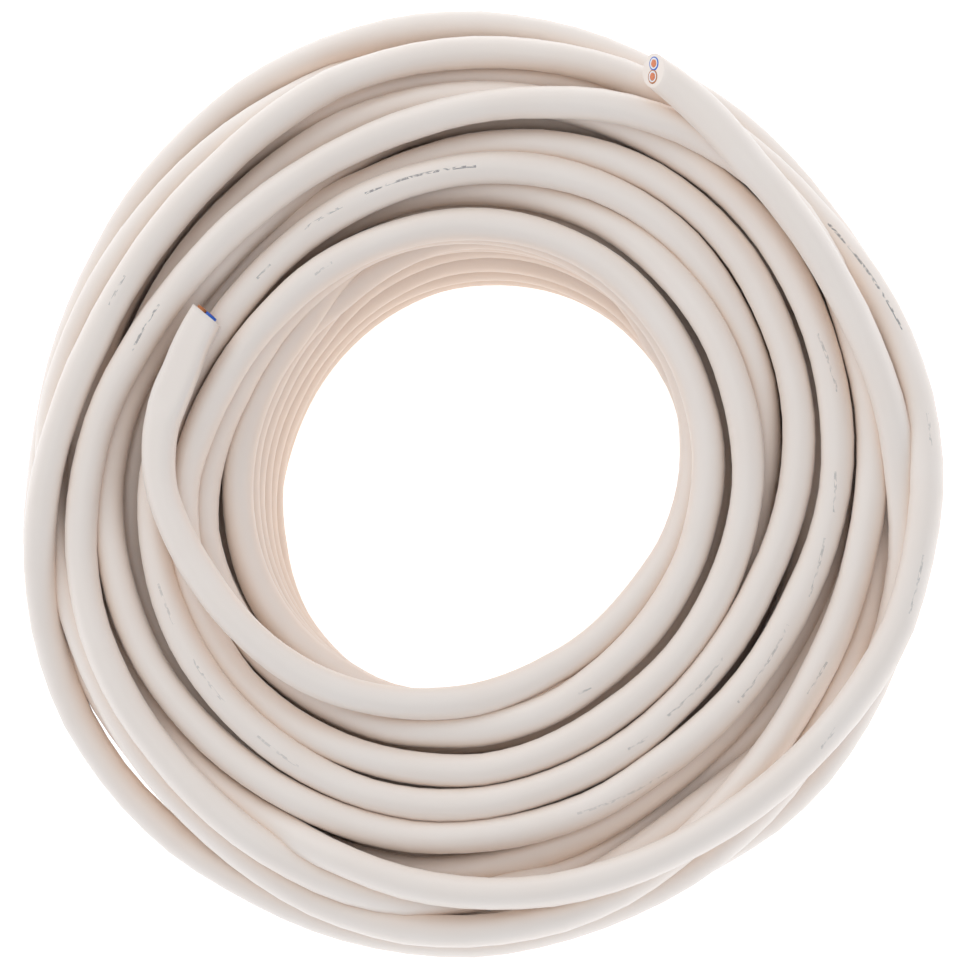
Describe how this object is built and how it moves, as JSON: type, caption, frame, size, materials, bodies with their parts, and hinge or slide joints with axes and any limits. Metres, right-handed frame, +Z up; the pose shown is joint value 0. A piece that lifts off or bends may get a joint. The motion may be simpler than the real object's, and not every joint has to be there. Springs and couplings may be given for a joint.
{
  "type": "coil of electrical wire",
  "caption": "Loose round coil of white sheathed two-core flexible cable, lying flat, with both cut ends on top showing blue and brown cores.",
  "frame": {"origin": "On the floor, on the coil's axis.", "axes": "+Z is up, along the axis of the bore. The picture's camera looks down, nearly along -Z, with +X to the image's right and +Y to its top."},
  "size_m": [0.208, 0.208, 0.0646],
  "materials": {
    "sheath": "white flexible PVC, satin",
    "blue_insulation": "blue flexible PVC, satin",
    "brown_insulation": "brown flexible PVC, satin",
    "conductor": "bare stranded copper, bright"
  },
  "bodies": {
    "root": {"cable_coil": "sheath", "inner_end_sheath": "sheath", "outer_end_sheath": "sheath", "inner_end_blue_insulation": "blue_insulation", "inner_end_brown_insulation": "brown_insulation", "inner_end_blue_conductor": "conductor", "inner_end_brown_conductor": "conductor", "outer_end_blue_insulation": "blue_insulation", "outer_end_brown_insulation": "brown_insulation", "outer_end_blue_conductor": "conductor", "outer_end_brown_conductor": "conductor"}
  },
  "joints": []
}
